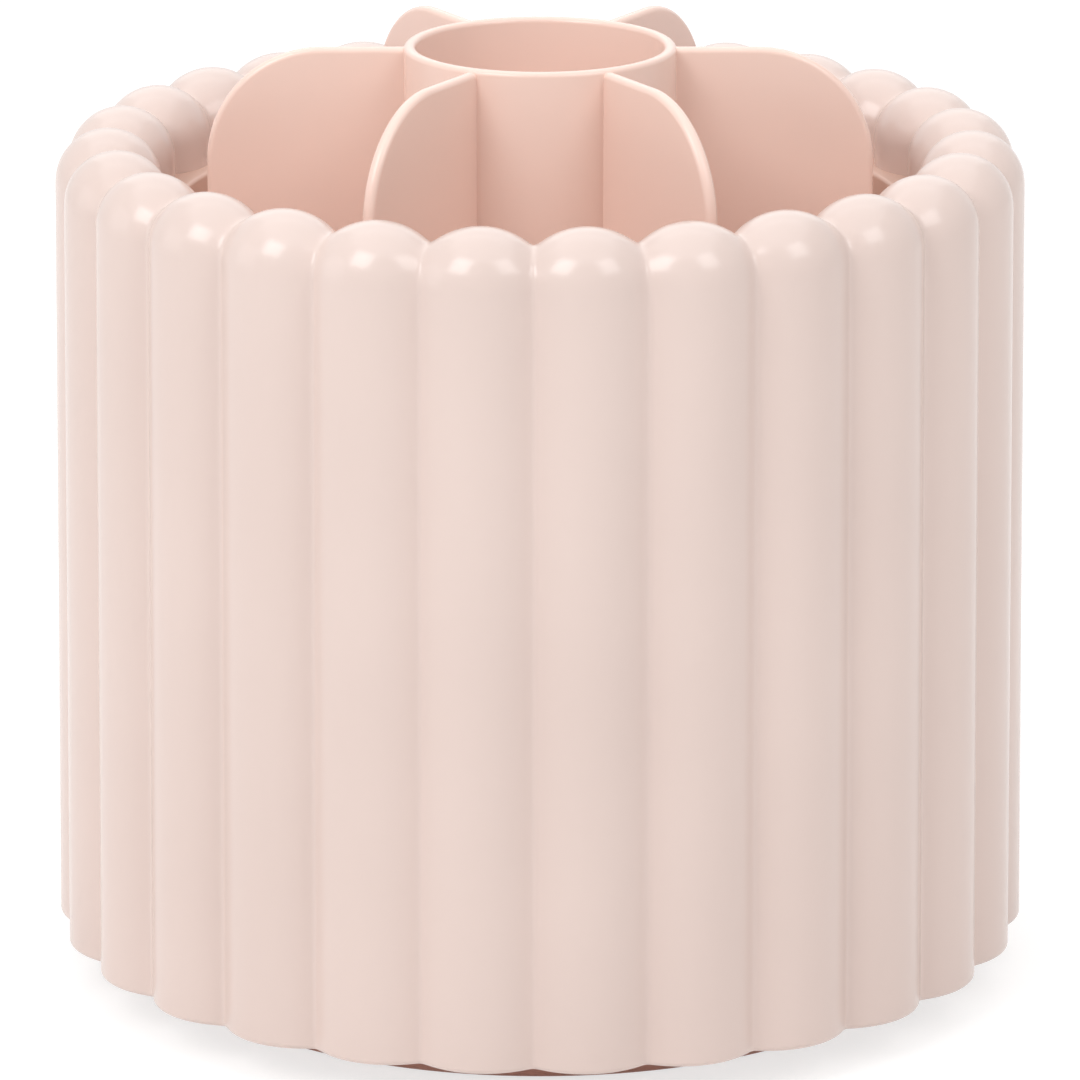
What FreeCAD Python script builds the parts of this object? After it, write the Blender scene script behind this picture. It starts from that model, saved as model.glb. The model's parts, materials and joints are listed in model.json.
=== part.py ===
"""Turntable pot for makeup brushes.

A fluted pot stands on a ball-bearing foot and turns on it without end. Inside the pot is a smooth
cup, and in the cup stands a loose divider: a round centre tube with straight fins around it.

Frame: millimetres, +Z up, origin on the turning axis at table height, -Y towards the viewer.
"""
import FreeCAD, Part
import Sketcher
import math
import os
import re

V = FreeCAD.Vector
UP = V(0, 0, 1)

# Sketch references: the two axes through a sketch's origin, and the ends of a line or an arc
ACROSS_AXIS, UPRIGHT_AXIS = -1, -2
START, END, CENTRE = 1, 2, 3

# Driving sizes: name, millimetres, degrees or a count, and what it is
SIZES = [
    # Fluted pot wall
    ("group_count", 3, "like groups of flutes around the pot, each with one screw boss"),
    ("group_flutes", 9, "flutes in a group"),
    ("flute_turn", -84.09, "degrees from +X to the crest of the first flute"),
    ("flute_ring", 57.6, "radius of the circle that runs through the flutes at the rim"),
    ("flute_half", 7.1, "half the rim's thickness at a crest"),
    ("flute_arc", 9.5, "radius of a flute's round face"),
    ("valley_round", 0.4, "radius in the valley between two flutes"),
    ("wall_lean", 0.77, "degrees that the outside leans out towards the foot"),
    ("pot_top", 115.65, "top of the domed flutes"),
    ("pot_foot", 5.5, "lower edge of the pot wall"),
    ("foot_round", 0.8, "rounding of the lower outside edge"),
    ("cut_spare", 2.0, "how far a cut or a pad runs past the place where it must end"),
    ("shell_bore", 60.0, "radius of the hollow in the pot wall"),
    ("hollow_round", 1.0, "rounding of the hollow under the domes"),
    ("roof_thick", 7.4, "material left under the top of a dome"),
    ("skirt_radius", 55.8, "outside radius of the skirt that hangs from the rim"),
    ("collar_height", 3.0, "how far the skirt reaches down around the cup"),
    ("collar_gap", 0.2, "clearance between the skirt and the cup"),
    # Bosses that take the cover screws
    ("boss_ring", 56.6, "radius of the circle through the screw bosses"),
    ("boss_radius", 3.6, "radius of a screw boss"),
    ("boss_height", 16.0, "height of a screw boss"),
    # Smooth cup inside the pot
    ("cup_mouth", 48.6, "inside radius of the cup at its rim"),
    ("cup_wall", 2.0, "thickness of the cup's wall"),
    ("cup_taper", 0.8, "how much narrower the cup is at its floor"),
    ("cup_drop", 10.65, "depth of the cup's rim below the domes"),
    ("cup_floor", 2.0, "thickness of the cup's floor"),
    ("cup_corner", 2.0, "rounding where the wall meets the floor"),
    ("cup_lip", 0.6, "rounding of the cup's rim"),
    ("ledge_radius", 53.2, "outside radius of the ledge around the cup's rim"),
    ("ledge_thick", 2.0, "thickness of that ledge"),
    ("stand_radius", 46.0, "outside radius of the ring that the cup stands on"),
    ("stand_width", 2.0, "width of that ring"),
    ("stand_height", 1.5, "height of that ring"),
    ("spigot_height", 4.0, "height of the round step that centres the divider"),
    ("spigot_gap", 0.2, "clearance between the step and the divider's tube"),
    ("key_width", 3.0, "width of the keys that stop the divider turning"),
    ("key_root", 1.0, "how far a key reaches into the round step"),
    ("key_gap", 0.2, "clearance around a key"),
    # Loose divider
    ("divider_top", 126.7, "top of the tube"),
    ("tube_radius", 18.15, "outside radius of the centre tube"),
    ("tube_wall", 1.6, "thickness of the tube's wall"),
    ("tube_lip", 0.7, "rounding of the tube's rim"),
    ("fin_count", 6, "fins around the tube"),
    ("fin_reach", 44.5, "radius at the outer edge of a fin"),
    ("fin_thick", 1.8, "thickness of a fin"),
    ("fin_drop", 0.4, "how far the fins end below the tube's rim"),
    ("fin_corner", 15.5, "radius of a fin's top corner"),
    ("fin_edge", 0.8, "rounding along a fin's edges"),
    # Ball race
    ("ball_count", 16, "balls in the race"),
    ("ball_radius", 2.0, "radius of a ball"),
    ("race_radius", 40.0, "radius of the circle that the balls run on"),
    ("race_depth", 0.9, "depth of each race groove"),
    ("race_gap", 0.05, "running clearance around a ball in its groove"),
    ("cage_thick", 1.2, "thickness of the ball cage"),
    ("cage_width", 7.0, "width of the ball cage"),
    ("cage_gap", 0.1, "clearance around a ball in the cage"),
    # Turntable plate
    ("plate_thick", 3.0, "thickness of the turntable plate"),
    ("plate_gap", 0.25, "clearance between the plate and the pot wall"),
    ("plate_edge", 0.3, "rounding of the plate's lower rim"),
    ("web_thick", 1.8, "thickness of the plate around the hub"),
    # Foot
    ("base_radius", 53.2, "radius of the foot"),
    ("base_thick", 2.8, "thickness of the foot"),
    ("base_edge", 0.6, "rounding of the foot's rim"),
    ("land_width", 9.0, "width of the raised track under the balls"),
    ("land_height", 1.6, "height of that track"),
    ("hub_radius", 6.0, "radius of the hub that the plate turns on"),
    ("hub_gap", 0.06, "running clearance between the hub and the plate"),
    ("hub_lift", 0.1, "how far the hub stands above the web"),
    ("pad_count", 6, "rubber pads under the foot"),
    ("pad_ring", 45.0, "radius of the circle through the pads"),
    ("pad_radius", 4.5, "radius of a pad"),
    ("pad_thick", 1.4, "thickness of a pad"),
    ("pad_proud", 0.4, "how far a pad stands out of the foot"),
    ("pad_gap", 0.1, "clearance around a pad in its recess"),
    # Fasteners
    ("washer_radius", 10.5, "outside radius of the pivot washer"),
    ("washer_thick", 0.8, "thickness of the pivot washer"),
    ("washer_room", 1.0, "clearance around the pivot washer"),
    ("thread_gap", 0.05, "clearance between a screw and its hole"),
    ("pivot_shank", 1.5, "radius of the pivot screw"),
    ("pivot_length", 6.0, "length of the pivot screw below its head"),
    ("pivot_head", 3.4, "radius of the pivot screw's head"),
    ("pivot_head_height", 2.2, "height of the pivot screw's head"),
    ("cover_shank", 1.4, "radius of a cover screw"),
    ("cover_length", 12.0, "length of a cover screw below its head"),
    ("cover_head", 2.4, "radius of a cover screw's head"),
    ("cover_head_height", 1.6, "height of a cover screw's head"),
    ("cover_sink", 1.8, "depth of the recess for a cover screw's head"),
    ("cover_room", 0.3, "clearance around a cover screw's head"),
    ("hole_spare", 1.5, "depth of a screw hole past the screw's tip"),
    ("cross_reach", 0.6, "length of a cross's arm as a share of the head's radius"),
    ("cross_width", 0.8, "width of the cross in a screw's head"),
    ("cross_depth", 1.0, "depth of the cross in a screw's head"),
]

# Levels and radii that follow from the driving sizes
LEVELS = [
    ("dome_level", "pot_top - flute_half", "level of the domes' centres"),
    ("arc_shift", "flute_arc - flute_half", "how far a flute's arc is centred past the ring"),
    ("lens_tip", "sqrt(flute_arc ^ 2 - arc_shift ^ 2)", "half the width of a flute's whole section"),
    ("group_step", "360 / group_count", "degrees from group to group"),
    ("flute_step", "group_step / group_flutes", "degrees from flute to flute"),
    ("boss_turn", "flute_turn + group_step / 2", "degrees from +X to the first screw boss"),
    ("wall_drop", "dome_level - pot_foot", "straight height of the flutes"),
    ("rim_level", "pot_top - cup_drop", "rim of the cup"),
    ("cup_radius", "cup_mouth + cup_wall", "outside radius of the cup's wall under the ledge"),
    ("base_under", "pad_proud", "underside of the foot"),
    ("base_top", "base_under + base_thick", "top of the foot"),
    ("land_top", "base_top + land_height", "top of the track"),
    ("ball_level", "land_top - race_depth + ball_radius", "centres of the balls"),
    ("groove_radius", "ball_radius + race_gap", "radius of the race grooves"),
    ("plate_under", "ball_level + ball_radius - race_depth", "underside of the plate"),
    ("plate_top", "plate_under + plate_thick", "top of the plate"),
    ("plate_radius", "shell_bore - plate_gap", "radius of the plate"),
    ("web_top", "plate_under + web_thick", "top of the web around the hub"),
    ("hub_top", "web_top + hub_lift", "top of the hub, where the washer sits"),
    ("washer_top", "hub_top + washer_thick", "top of the washer"),
    ("floor_under", "plate_top + stand_height", "underside of the cup's floor"),
    ("floor_top", "floor_under + cup_floor", "floor of the cup"),
    ("tube_bore", "tube_radius - tube_wall", "inside radius of the tube"),
    ("fin_top", "divider_top - fin_drop", "top of the fins"),
    ("spigot_radius", "tube_bore - spigot_gap", "radius of the centring step"),
    ("cover_seat", "plate_under + cover_sink", "seat of a cover screw's head"),
]

doc = FreeCAD.newDocument("brush_pot")
home = {}


def formula(text):
    """The expression that a text in plain names stands for, with each name's sheet before it."""
    return re.sub(r"[a-z]+(?:_[a-z]+)+", lambda name: f"{home[name.group()]}.{name.group()}", text)


def fill_sheet(label, rows):
    sheet = doc.addObject("Spreadsheet::Sheet", label)
    for row, (alias, content, meaning) in enumerate(rows, start=1):
        sheet.set(f"A{row}", meaning)
        sheet.set(f"B{row}", f"={formula(content)}" if isinstance(content, str) else str(content))
        sheet.setAlias(f"B{row}", alias)
        home[alias] = label
    doc.recompute()
    return sheet


sizes = fill_sheet("Sizes", SIZES)
levels = fill_sheet("Levels", LEVELS)


def value(text):
    return float(sizes.evalExpression(formula(text)))


def bind(thing, **places):
    """Ties properties to formulas; a double underscore in a name stands for a dot."""
    for name, text in places.items():
        thing.setExpression(name.replace("__", "."), formula(text))


def new_body(label, turn=None):
    body = doc.addObject("PartDesign::Body", label)
    body.Label = label
    if turn:
        body.Placement = FreeCAD.Placement(V(0, 0, 0), FreeCAD.Rotation(UP, value(turn)))
        bind(body, Placement__Rotation__Angle=turn)
    return body


def origin(body, role):
    return next(item for item in body.Origin.OriginFeatures if item.Role == role)


def new_sketch(body, name, plane, level):
    sketch = body.newObject("Sketcher::SketchObject", name)
    sketch.AttachmentSupport = [(origin(body, plane), "")]
    sketch.MapMode = "FlatFace"
    bind(sketch, AttachmentOffset__Base__z=level)
    return sketch


def tie(sketch, text, *constraint):
    """Adds a constraint whose size is a formula."""
    index = sketch.addConstraint(Sketcher.Constraint(*constraint, value(text)))
    sketch.setExpression(f"Constraints[{index}]", formula(text))


def tie_point(sketch, geometry, point, across, up):
    for axis, kind, text in ((UPRIGHT_AXIS, "DistanceX", across), (ACROSS_AXIS, "DistanceY", up)):
        if text == "0":
            sketch.addConstraint(Sketcher.Constraint("PointOnObject", geometry, point, axis))
        else:
            tie(sketch, text, kind, ACROSS_AXIS, START, geometry, point)


def arc_about(centre, first, last):
    """The arc that runs anticlockwise about centre from first to last."""
    angles = [math.atan2(p.y - centre.y, p.x - centre.x) for p in (first, last)]
    return Part.ArcOfCircle(Part.Circle(centre, UP, first.distanceToPoint(centre)), *angles)


def outline(body, name, corners, plane="XZ_Plane", level="0"):
    """A closed sketch of straight sides through corners: across, up and, if rounded, a radius."""
    sketch = new_sketch(body, name, plane, level)
    spots = [V(value(corner[0]), value(corner[1]), 0) for corner in corners]
    count = len(corners)
    entry, leave = list(spots), list(spots)
    centres = {}
    for i, corner in enumerate(corners):
        if len(corner) < 3:
            continue
        back = (spots[i - 1] - spots[i]).normalize()
        ahead = (spots[(i + 1) % count] - spots[i]).normalize()
        half = back.getAngle(ahead) / 2
        radius = value(corner[2])
        entry[i] = spots[i] + back * (radius / math.tan(half))
        leave[i] = spots[i] + ahead * (radius / math.tan(half))
        centres[i] = spots[i] + (back + ahead).normalize() * (radius / math.sin(half))
    sides = [
        sketch.addGeometry(Part.LineSegment(leave[i], entry[(i + 1) % count]), False)
        for i in range(count)
    ]
    for i, corner in enumerate(corners):
        before, after = sides[i - 1], sides[i]
        if i not in centres:
            tie_point(sketch, after, START, corner[0], corner[1])
            sketch.addConstraint(Sketcher.Constraint("Coincident", before, END, after, START))
            continue
        mark = sketch.addGeometry(Part.Point(spots[i]), True)
        tie_point(sketch, mark, START, corner[0], corner[1])
        left_turn = (entry[i] - centres[i]).cross(leave[i] - centres[i]).z > 0
        ends = (entry[i], leave[i]) if left_turn else (leave[i], entry[i])
        arc = sketch.addGeometry(arc_about(centres[i], *ends), False)
        first, last = (START, END) if left_turn else (END, START)
        sketch.addConstraint(
            [
                Sketcher.Constraint("Tangent", before, END, arc, first),
                Sketcher.Constraint("Tangent", arc, last, after, START),
                Sketcher.Constraint("PointOnObject", mark, START, before),
                Sketcher.Constraint("PointOnObject", mark, START, after),
            ]
        )
        tie(sketch, corner[2], "Radius", arc)
    return sketch


def circle(body, name, across, up, radius, plane="XY_Plane", level="0"):
    sketch = new_sketch(body, name, plane, level)
    spot = V(value(across), value(up), 0)
    ring = sketch.addGeometry(Part.Circle(spot, UP, value(radius)), False)
    tie_point(sketch, ring, CENTRE, across, up)
    tie(sketch, radius, "Radius", ring)
    return sketch


def bar(body, name, near, far, width, level="0"):
    """A rectangle on a level plane, from near to far along X and as wide as width across it."""
    half = f"({width}) / 2"
    corners = [(near, f"-{half}"), (far, f"-{half}"), (far, half), (near, half)]
    return outline(body, name, corners, "XY_Plane", level)


def turned(body, kind, name, sketch, axis="V_Axis", angle="360"):
    """A Revolution or a Groove of the sketch."""
    feature = body.newObject(f"PartDesign::{kind}", name)
    feature.Profile = sketch
    feature.ReferenceAxis = (sketch, [axis])
    bind(feature, Angle=angle)
    doc.recompute()
    return feature


def lathe(body, name, corners):
    return turned(body, "Revolution", name, outline(body, f"{name}_outline", corners))


def race_groove(body):
    """Cuts the round groove that the balls run in."""
    ring = circle(body, "race", "race_radius", "ball_level", "groove_radius", "XZ_Plane")
    return turned(body, "Groove", "race_groove", ring)


def prism(body, kind, name, sketch, length, down=False):
    """A Pad or a Pocket of the sketch; down says that it runs towards the table."""
    feature = body.newObject(f"PartDesign::{kind}", name)
    feature.Profile = sketch
    feature.Reversed = down if kind == "Pad" else not down
    bind(feature, Length=length)
    doc.recompute()
    return feature


def around(body, name, features, count, angle="360"):
    """Repeats features about the turning axis, or the whole solid where none are named."""
    pattern = body.newObject("PartDesign::PolarPattern", name)
    if features:
        pattern.Originals = features
    else:
        pattern.TransformMode = "Whole shape"
    pattern.Axis = (origin(body, "Z_Axis"), [""])
    bind(pattern, Angle=angle, Occurrences=count)
    body.Tip = pattern
    doc.recompute()
    return pattern


def rounded(body, name, radius, chosen):
    """Rounds the edges of the body's last solid that chosen picks."""
    base = body.Tip
    names = [f"Edge{i}" for i, edge in enumerate(base.Shape.Edges, start=1) if chosen(edge)]
    feature = body.newObject("PartDesign::Fillet", name)
    feature.Base = (base, names)
    bind(feature, Radius=radius)
    doc.recompute()
    return feature


def near(a, b):
    return abs(a - b) < 1e-4


def on_plane(edge, turn):
    """Whether the whole edge lies in the upright plane through the axis, turn degrees from +X."""
    across = V(-math.sin(math.radians(turn)), math.cos(math.radians(turn)), 0)
    spots = [edge.valueAt(p) for p in (edge.FirstParameter, edge.LastParameter)]
    spots.append(edge.CenterOfMass)
    return all(near(spot.dot(across), 0) for spot in spots)


def on_foot(edge, level, ring):
    """Whether the whole edge lies at that level outside the ring, and is curved."""
    spots = [vertex.Point for vertex in edge.Vertexes] + [edge.CenterOfMass]
    outside = all(near(spot.z, level) and math.hypot(spot.x, spot.y) > ring for spot in spots)
    return outside and edge.Curve.TypeId != "Part::GeomLine"


def lens(body):
    """A flute seen from above: two equal arcs that meet in tips inside its neighbours."""
    sketch = new_sketch(body, "lens", "XY_Plane", "dome_level")
    ring, shift, tip = value("flute_ring"), value("arc_shift"), value("lens_tip")
    tips = [V(ring, -tip, 0), V(ring, tip, 0)]
    arcs = []
    for centre, ends, across in (
        (V(ring - shift, 0, 0), tips, "flute_ring - arc_shift"),
        (V(ring + shift, 0, 0), tips[::-1], "flute_ring + arc_shift"),
    ):
        arcs.append(sketch.addGeometry(arc_about(centre, *ends), False))
        tie_point(sketch, arcs[-1], CENTRE, across, "0")
        tie(sketch, "flute_arc", "Radius", arcs[-1])
    sketch.addConstraint(Sketcher.Constraint("Coincident", arcs[0], END, arcs[1], START))
    sketch.addConstraint(Sketcher.Constraint("Coincident", arcs[1], END, arcs[0], START))
    return sketch


def outer_half(body):
    """The lens's outer arc and its chord, on a plane that tips with the leaning outside."""
    sketch = new_sketch(body, "outer_half", "XY_Plane", "dome_level")
    sketch.AttachmentOffset = FreeCAD.Placement(
        V(value("flute_ring"), 0, value("dome_level")), FreeCAD.Rotation(V(0, -1, 0), value("wall_lean"))
    )
    bind(sketch, AttachmentOffset__Base__x="flute_ring", AttachmentOffset__Rotation__Angle="wall_lean")
    shift, tip = value("arc_shift"), value("lens_tip")
    tips = [V(0, -tip, 0), V(0, tip, 0)]
    arc = sketch.addGeometry(arc_about(V(-shift, 0, 0), *tips), False)
    tie_point(sketch, arc, CENTRE, "-arc_shift", "0")
    tie(sketch, "flute_arc", "Radius", arc)
    chord = sketch.addGeometry(Part.LineSegment(tips[1], tips[0]), False)
    sketch.addConstraint(Sketcher.Constraint("Coincident", arc, END, chord, START))
    sketch.addConstraint(Sketcher.Constraint("Coincident", chord, END, arc, START))
    sketch.addConstraint(Sketcher.Constraint("PointOnObject", chord, START, UPRIGHT_AXIS))
    return sketch


def keep_one_step(body):
    """Keeps the solid between the middles of two neighbouring flutes, 0 to flute_step degrees."""
    far = "2 * flute_ring"
    corners = [
        ("0", "0"),
        (far, "0"),
        (far, f"-{far}"),
        (f"-{far}", f"-{far}"),
        (f"-{far}", far),
        (f"{far} * cos(flute_step)", far),
        (f"{far} * cos(flute_step)", f"{far} * sin(flute_step)"),
    ]
    others = outline(body, "other_steps", corners, "XY_Plane", "pot_top + cut_spare")
    return prism(body, "Pocket", "one_step", others, "pot_top + cut_spare", down=True)


def hollow_out(body):
    """Hollows the wall from below and opens the skirt that fits around the cup."""
    below = "pot_foot - cut_spare"
    collar = "ledge_radius + collar_gap"
    inside = [
        ("skirt_radius / 2", below),
        ("shell_bore", below),
        ("shell_bore", "pot_top - roof_thick", "hollow_round"),
        ("skirt_radius", "pot_top - roof_thick", "hollow_round"),
        ("skirt_radius", "rim_level - collar_height"),
        (collar, "rim_level - collar_height"),
        (collar, "rim_level"),
        ("skirt_radius / 2", "rim_level"),
    ]
    return turned(body, "Groove", "hollow", outline(body, "hollow_outline", inside))


def make_outer_shell():
    """The fluted wall: columns of lens-shaped section under round domes, hollow from below."""
    body = new_body("outer_shell", "flute_turn")
    prism(body, "Pad", "column", lens(body), "wall_drop", down=True)
    half = outer_half(body)
    prism(body, "Pad", "leaning_face", half, "wall_drop + cut_spare", down=True)
    dome = turned(body, "Revolution", "dome", half, "V_Axis", "180 - wall_lean")
    dome.Reversed = True
    under = circle(body, "under_foot", "0", "0", "2 * flute_ring", level="pot_foot")
    prism(body, "Pocket", "level_foot", under, "2 * cut_spare", down=True)
    around(body, "two_flutes", [], "2", "flute_step")

    middle = value("flute_step / 2")
    rounded(body, "valley", "valley_round", lambda edge: on_plane(edge, middle))
    keep_one_step(body)
    ring, foot = value("flute_ring"), value("pot_foot")
    rounded(body, "lower_edge", "foot_round", lambda edge: on_foot(edge, foot, ring))
    hollow_out(body)
    around(body, "group", [], "group_flutes", "group_step - flute_step")

    across, up = "boss_ring * cos(group_step / 2)", "boss_ring * sin(group_step / 2)"
    boss_circle = circle(body, "boss_circle", across, up, "boss_radius", level="plate_top")
    prism(body, "Pad", "boss", boss_circle, "boss_height")
    hole_circle = circle(body, "hole_circle", across, up, "cover_shank + thread_gap", level="plate_top")
    depth = "cover_seat + cover_length + hole_spare - plate_top"
    prism(body, "Pocket", "screw_hole", hole_circle, depth)
    around(body, "groups", [], "group_count")
    return body


def turn_to_gap(sketch):
    """Turns a sketch from a fin to the middle of the gap beside it."""
    sketch.AttachmentOffset = FreeCAD.Placement(
        sketch.AttachmentOffset.Base, FreeCAD.Rotation(UP, value("180 / fin_count"))
    )
    bind(sketch, AttachmentOffset__Rotation__Angle="180 / fin_count")


def make_inner_cup():
    """The smooth cup: its ledge lies under the flutes, its floor has the step for the divider."""
    body = new_body("inner_cup")
    recess = "spigot_radius - cup_floor"
    lathe(
        body,
        "cup",
        [
            ("cup_mouth", "rim_level", "cup_lip"),
            ("cup_mouth - cup_taper", "floor_top", "cup_corner"),
            ("spigot_radius", "floor_top"),
            ("spigot_radius", "floor_top + spigot_height", "cup_lip"),
            ("0", "floor_top + spigot_height"),
            ("0", "floor_under + spigot_height"),
            (recess, "floor_under + spigot_height"),
            (recess, "floor_under"),
            ("stand_radius - stand_width", "floor_under"),
            ("stand_radius - stand_width", "plate_top"),
            ("stand_radius", "plate_top"),
            ("stand_radius", "floor_under"),
            ("cup_radius - cup_taper", "floor_under", "cup_corner"),
            ("cup_radius", "rim_level - ledge_thick"),
            ("ledge_radius", "rim_level - ledge_thick"),
            ("ledge_radius", "rim_level"),
        ],
    )
    key_bar = bar(body, "key_bar", "spigot_radius - key_root", "tube_radius", "key_width", "floor_top")
    key = prism(body, "Pad", "key", key_bar, "spigot_height")
    turn_to_gap(key_bar)
    around(body, "keys", [key], "2")
    return body


def make_divider():
    """The loose divider: a tube with straight fins that end just below its rim."""
    body = new_body("divider")
    fin_corners = [
        ("0", "floor_top"),
        ("fin_reach", "floor_top"),
        ("fin_reach", "fin_top", "fin_corner"),
        ("0", "fin_top"),
    ]
    fin = prism(body, "Pad", "fin", outline(body, "fin_outline", fin_corners), "fin_thick")
    fin.SideType = "Symmetric"
    doc.recompute()
    side, floor = value("fin_thick / 2"), value("floor_top")
    rounded(
        body,
        "fin_edges",
        "fin_edge",
        lambda edge: near(abs(edge.CenterOfMass.y), side)
        and not near(edge.CenterOfMass.z, floor)
        and edge.CenterOfMass.x > side,
    )
    around(body, "fins", [], "fin_count")
    lathe(
        body,
        "tube",
        [
            ("0", "floor_top"),
            ("tube_radius", "floor_top"),
            ("tube_radius", "divider_top", "tube_lip"),
            ("0", "divider_top"),
        ],
    )
    bore_circle = circle(body, "bore_circle", "0", "0", "tube_bore", level="divider_top")
    prism(body, "Pocket", "bore", bore_circle, "divider_top", down=True)
    bore, top = value("tube_bore"), value("divider_top")
    rounded(
        body,
        "rim",
        "tube_lip",
        lambda edge: near(edge.CenterOfMass.z, top)
        and edge.Curve.TypeId == "Part::GeomCircle"
        and near(edge.Curve.Radius, bore),
    )
    slot_bar = bar(
        body, "slot_bar", "tube_bore - cut_spare", "tube_radius + cut_spare",
        "key_width + 2 * key_gap", "floor_top",
    )
    slot = prism(body, "Pocket", "slot", slot_bar, "spigot_height + key_gap")
    turn_to_gap(slot_bar)
    around(body, "slots", [slot], "2")
    return body


def make_turntable_plate():
    """The plate that closes the pot from below and runs on the balls."""
    body = new_body("turntable_plate", "boss_turn")
    recess = "washer_radius + washer_room"
    lathe(
        body,
        "plate",
        [
            ("hub_radius + hub_gap", "plate_under"),
            ("plate_radius", "plate_under", "plate_edge"),
            ("plate_radius", "plate_top"),
            (recess, "plate_top"),
            (recess, "web_top"),
            ("hub_radius + hub_gap", "web_top"),
        ],
    )
    race_groove(body)
    hole_circle = circle(
        body, "hole_circle", "boss_ring", "0", "cover_shank + cover_room", level="plate_under"
    )
    hole = prism(body, "Pocket", "screw_hole", hole_circle, "plate_thick")
    head_circle = circle(
        body, "head_circle", "boss_ring", "0", "cover_head + cover_room", level="plate_under"
    )
    sink = prism(body, "Pocket", "head_recess", head_circle, "cover_sink")
    around(body, "screw_places", [hole, sink], "group_count")
    return body


def make_base_plate():
    """The foot: a disc with the lower track, the hub, and recesses for the pads."""
    body = new_body("base_plate")
    track_in = "race_radius - land_width / 2"
    track_out = "race_radius + land_width / 2"
    lathe(
        body,
        "disc",
        [
            ("0", "base_under"),
            ("base_radius", "base_under", "base_edge"),
            ("base_radius", "base_top", "base_edge"),
            (track_out, "base_top"),
            (track_out, "land_top"),
            (track_in, "land_top"),
            (track_in, "base_top"),
            ("hub_radius", "base_top"),
            ("hub_radius", "hub_top"),
            ("0", "hub_top"),
        ],
    )
    race_groove(body)
    hole_circle = circle(
        body, "hole_circle", "0", "0", "pivot_shank + thread_gap", level="hub_top"
    )
    depth = "pivot_length - washer_thick + hole_spare - thread_gap"
    prism(body, "Pocket", "screw_hole", hole_circle, depth, down=True)
    pad_circle = circle(
        body, "pad_circle", "pad_ring", "0", "pad_radius + pad_gap", level="base_under"
    )
    recess = prism(body, "Pocket", "pad_recess", pad_circle, "pad_thick - pad_proud")
    around(body, "pad_recesses", [recess], "pad_count")
    return body


def make_ball_cage():
    """The flat ring that keeps the balls apart."""
    body = new_body("ball_cage")
    inner, outer = "race_radius - cage_width / 2", "race_radius + cage_width / 2"
    low, high = "ball_level - cage_thick / 2", "ball_level + cage_thick / 2"
    lathe(body, "ring", [(inner, low), (outer, low), (outer, high), (inner, high)])
    window_circle = circle(
        body, "window_circle", "race_radius", "0", "ball_radius + cage_gap", level=low
    )
    window = prism(body, "Pocket", "window", window_circle, "cage_thick")
    around(body, "windows", [window], "ball_count")
    return body


def make_ball(number):
    """One ball of the race."""
    ball = doc.addObject("Part::Sphere", f"ball_{number:02d}")
    turn = f"{number - 1} * 360 / ball_count"
    bind(
        ball,
        Radius="ball_radius",
        Placement__Base__x=f"race_radius * cos({turn})",
        Placement__Base__y=f"race_radius * sin({turn})",
        Placement__Base__z="ball_level",
    )
    return ball


def make_foot_pad(number):
    """One rubber pad in its recess under the foot."""
    body = new_body(f"foot_pad_{number}")
    lathe(
        body,
        "pad",
        [
            ("0", "0"),
            ("pad_radius", "0", "pad_proud / 2"),
            ("pad_radius", "pad_thick"),
            ("0", "pad_thick"),
        ],
    )
    turn = f"{number - 1} * 360 / pad_count"
    bind(
        body,
        Placement__Base__x=f"pad_ring * cos({turn})",
        Placement__Base__y=f"pad_ring * sin({turn})",
    )
    return body


def make_pivot_washer():
    """The washer that keeps the turntable plate on the hub."""
    body = new_body("pivot_washer")
    hole = "pivot_shank + thread_gap"
    lathe(
        body,
        "washer",
        [
            (hole, "hub_top"),
            ("washer_radius", "hub_top"),
            ("washer_radius", "washer_top"),
            (hole, "washer_top"),
        ],
    )
    return body


def cross_recess(body, level, head, down):
    """Cuts the cross in a screw's head, whose outer face is at level."""
    half_bar = bar(body, "cross_bar", "0", f"{head} * cross_reach", "cross_width", level)
    arm = prism(body, "Pocket", "cross_arm", half_bar, "cross_depth", down=down)
    around(body, "cross", [arm], "4")


def make_pivot_screw():
    """The screw in the middle of the hub, head upwards, its thread left plain."""
    body = new_body("pivot_screw")
    top, tip = "washer_top + pivot_head_height", "washer_top - pivot_length"
    lathe(
        body,
        "screw",
        [
            ("0", tip),
            ("pivot_shank", f"{tip} + pivot_shank"),
            ("pivot_shank", "washer_top"),
            ("pivot_head", "washer_top"),
            ("pivot_head", top, "pivot_head_height / 2"),
            ("0", top),
        ],
    )
    cross_recess(body, top, "pivot_head", down=True)
    return body


def make_cover_screw(number):
    """One of the screws from below through the turntable plate, its thread left plain."""
    body = new_body(f"cover_screw_{number}")
    low, tip = "cover_seat - cover_head_height", "cover_seat + cover_length"
    lathe(
        body,
        "screw",
        [
            ("0", low),
            ("cover_head", low, "cover_head_height / 2"),
            ("cover_head", "cover_seat"),
            ("cover_shank", "cover_seat"),
            ("cover_shank", f"{tip} - cover_shank"),
            ("0", tip),
        ],
    )
    cross_recess(body, low, "cover_head", down=False)
    turn = f"boss_turn + {number - 1} * group_step"
    bind(
        body,
        Placement__Base__x=f"boss_ring * cos({turn})",
        Placement__Base__y=f"boss_ring * sin({turn})",
    )
    return body


def make_cover_screws():
    """All cover screws together, as one node of separate solids."""
    screws = [make_cover_screw(i + 1) for i in range(round(value("group_count")))]
    group = doc.addObject("Part::Compound", "cover_screws")
    group.Links = screws
    return group


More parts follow.
